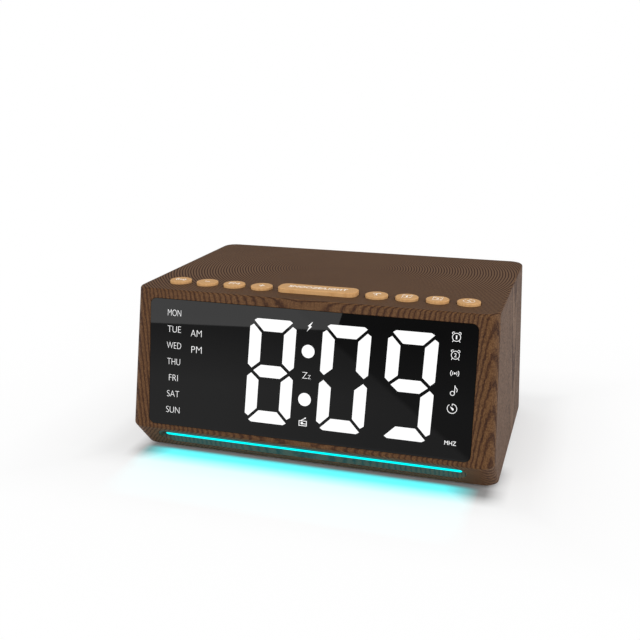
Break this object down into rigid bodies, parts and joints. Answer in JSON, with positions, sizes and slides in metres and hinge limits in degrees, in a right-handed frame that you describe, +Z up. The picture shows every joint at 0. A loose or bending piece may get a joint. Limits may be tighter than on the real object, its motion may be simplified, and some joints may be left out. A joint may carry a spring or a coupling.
{
  "type": "digital alarm clock",
  "caption": "Bedside digital alarm clock in a tapered wood-look case with a leaning seven-segment display, a light bar, round top keys, a snooze bar and a phone charging pad.",
  "frame": {"origin": "on the table below the middle of the case's bounding box", "axes": "+X to the right seen from the front, +Y to the back, +Z up"},
  "size_m": [0.1856, 0.1316, 0.0901],
  "materials": {
    "case_wood": "satin wood grain",
    "lens_black": "gloss",
    "lit_white": "lit",
    "reflector_white": "satin",
    "board_green": "solder mask",
    "screw_steel": "zinc plated",
    "light_cyan": "lit",
    "key_tan": "fine satin grain",
    "switch_black": "matte",
    "coil_copper": "enamelled wire",
    "ferrite_grey": "matte",
    "bracket_white": "matte",
    "component_black": "moulded",
    "ribbon_grey": "ribbed",
    "base_black": "fine texture",
    "foot_rubber": "matte",
    "cell_steel": "brushed",
    "panel_black": "fine texture",
    "screw_black": "black oxide",
    "foam_grey": "foam",
    "basket_grey": "powder coat",
    "cone_paper": "paper",
    "magnet_steel": "plated",
    "jack_black": "satin"
  },
  "bodies": {
    "clock": {"cabinet": "case_wood", "display_lens": "lens_black", "hour_segments": "lit_white", "minute_tens_segments": "lit_white", "minute_units_segments": "lit_white", "colon_dots": "lit_white", "display_reflector": "reflector_white", "display_board": "board_green", "light_strip_board": "board_green", "key_board": "board_green", "charging_board": "board_green", "main_board": "board_green", "display_screws": "screw_steel", "key_board_screws": "screw_steel", "coil_screws": "screw_steel", "main_board_screws": "screw_steel", "base_screws": "screw_steel", "light_bar": "light_cyan", "tact_switches": "switch_black", "battery_holder": "switch_black", "charging_coil": "coil_copper", "ferrite_plate": "ferrite_grey", "coil_bracket": "bracket_white", "main_board_components": "component_black", "display_ribbon": "ribbon_grey", "key_ribbon": "ribbon_grey", "base_plate": "base_black", "rubber_feet": "foot_rubber", "backup_battery": "cell_steel", "rear_panel": "panel_black", "rear_panel_screws": "screw_black", "speaker_gasket": "foam_grey", "speaker_frame": "basket_grey", "speaker_cone": "cone_paper", "speaker_magnet": "magnet_steel", "dc_jack": "jack_black"},
    "sound_key": {"key_sound": "key_tan", "stem_sound": "switch_black"},
    "minus_key": {"key_minus": "key_tan", "stem_minus": "switch_black"},
    "radio_key": {"key_radio": "key_tan", "stem_radio": "switch_black"},
    "plus_key": {"key_plus": "key_tan", "stem_plus": "switch_black"},
    "light_key": {"key_light": "key_tan", "stem_light": "switch_black"},
    "alarm_1_key": {"key_alarm_1": "key_tan", "stem_alarm_1": "switch_black"},
    "alarm_2_key": {"key_alarm_2": "key_tan", "stem_alarm_2": "switch_black"},
    "timer_key": {"key_timer": "key_tan", "stem_timer": "switch_black"},
    "snooze": {"snooze_bar": "key_tan", "stem_snooze": "switch_black"},
    "cell_cap": {"battery_cap": "base_black"}
  },
  "joints": [
    {"name": "sound_key_press", "type": "slide", "parent": "clock", "child": "sound_key", "axis": [0, 0, -1], "range_m": [0, 0.0006], "stiffness_N_per_m": 900},
    {"name": "minus_key_press", "type": "slide", "parent": "clock", "child": "minus_key", "axis": [0, 0, -1], "range_m": [0, 0.0006], "stiffness_N_per_m": 900},
    {"name": "radio_key_press", "type": "slide", "parent": "clock", "child": "radio_key", "axis": [0, 0, -1], "range_m": [0, 0.0006], "stiffness_N_per_m": 900},
    {"name": "plus_key_press", "type": "slide", "parent": "clock", "child": "plus_key", "axis": [0, 0, -1], "range_m": [0, 0.0006], "stiffness_N_per_m": 900},
    {"name": "light_key_press", "type": "slide", "parent": "clock", "child": "light_key", "axis": [0, 0, -1], "range_m": [0, 0.0006], "stiffness_N_per_m": 900},
    {"name": "alarm_1_key_press", "type": "slide", "parent": "clock", "child": "alarm_1_key", "axis": [0, 0, -1], "range_m": [0, 0.0006], "stiffness_N_per_m": 900},
    {"name": "alarm_2_key_press", "type": "slide", "parent": "clock", "child": "alarm_2_key", "axis": [0, 0, -1], "range_m": [0, 0.0006], "stiffness_N_per_m": 900},
    {"name": "timer_key_press", "type": "slide", "parent": "clock", "child": "timer_key", "axis": [0, 0, -1], "range_m": [0, 0.0006], "stiffness_N_per_m": 900},
    {"name": "snooze_press", "type": "slide", "parent": "clock", "child": "snooze", "axis": [0, 0, -1], "range_m": [0, 0.0006], "stiffness_N_per_m": 900},
    {"name": "cell_cap_turn", "type": "hinge", "parent": "clock", "child": "cell_cap", "pos_m": [-0.06, 0.006, 0.0035], "axis": [0, 0, 1], "range_deg": [0, 60]}
  ]
}
